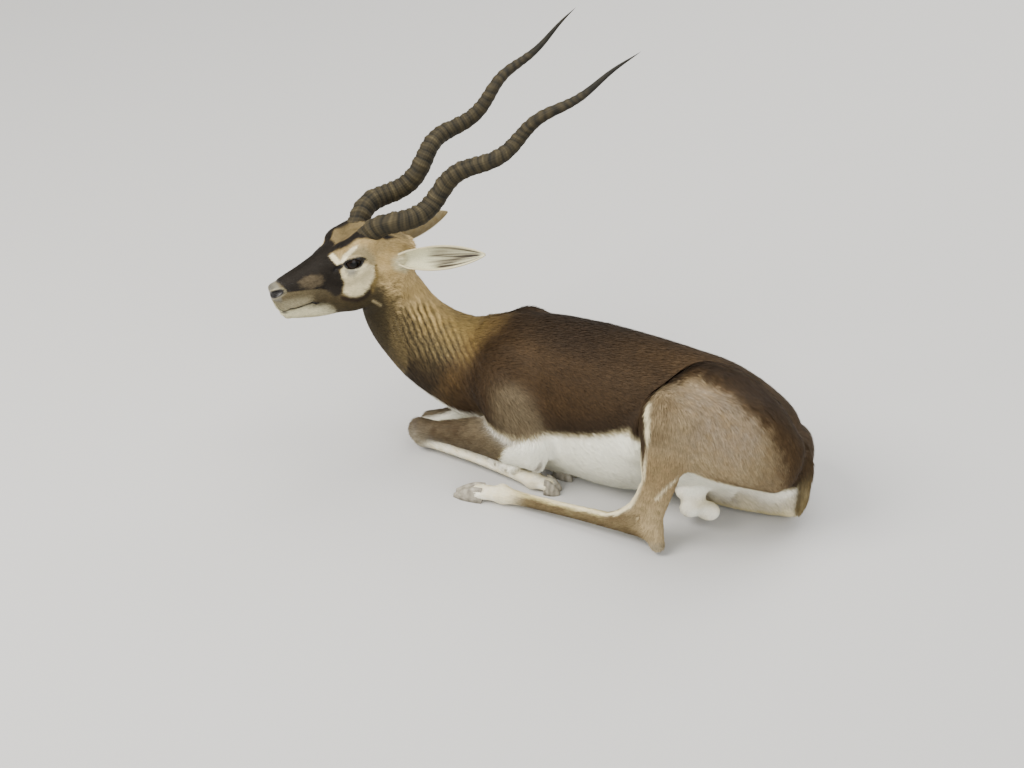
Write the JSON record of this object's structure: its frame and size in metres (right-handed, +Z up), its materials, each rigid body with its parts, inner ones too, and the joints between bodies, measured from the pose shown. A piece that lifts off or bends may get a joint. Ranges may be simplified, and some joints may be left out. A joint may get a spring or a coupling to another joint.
{
  "type": "antelope model",
  "caption": "Life-size still model of a mature male blackbuck lying down, head turned to its left, with long ringed spiral horns, folded forelegs and hips rolled to the right.",
  "frame": {"origin": "centre of the bounding box's footprint, on the floor under the animal", "axes": "+Z up; the body's long axis is X, with the head at -X and the rump at +X; the animal's left side faces -Y, and its head is turned to that side"},
  "size_m": [0.8532, 0.553, 0.6607],
  "materials": {
    "coat_dark": "short flat fur, dark brown",
    "coat_tan": "short fur, tan",
    "coat_white": "short fur, white",
    "horn": "ringed horn, grey brown, with smooth dark tips",
    "hoof": "dull horn",
    "eye": "polished"
  },
  "bodies": {
    "root": {"head": "coat_dark", "neck": "coat_tan", "torso": "coat_dark", "tail": "coat_dark", "scrotum": "coat_white", "foreleg_left": "coat_dark", "foreleg_right": "coat_dark", "hindleg_left": "coat_dark", "hindleg_right": "coat_dark", "eye_left": "eye", "eye_right": "eye", "ear_left": "coat_tan", "ear_right": "coat_tan", "horn_left": "horn", "horn_right": "horn", "hoof_fore_left_outer": "hoof", "hoof_fore_left_inner": "hoof", "hoof_fore_right_outer": "hoof", "hoof_fore_right_inner": "hoof", "hoof_hind_left_outer": "hoof", "hoof_hind_left_inner": "hoof", "hoof_hind_right_outer": "hoof", "hoof_hind_right_inner": "hoof"}
  },
  "joints": []
}
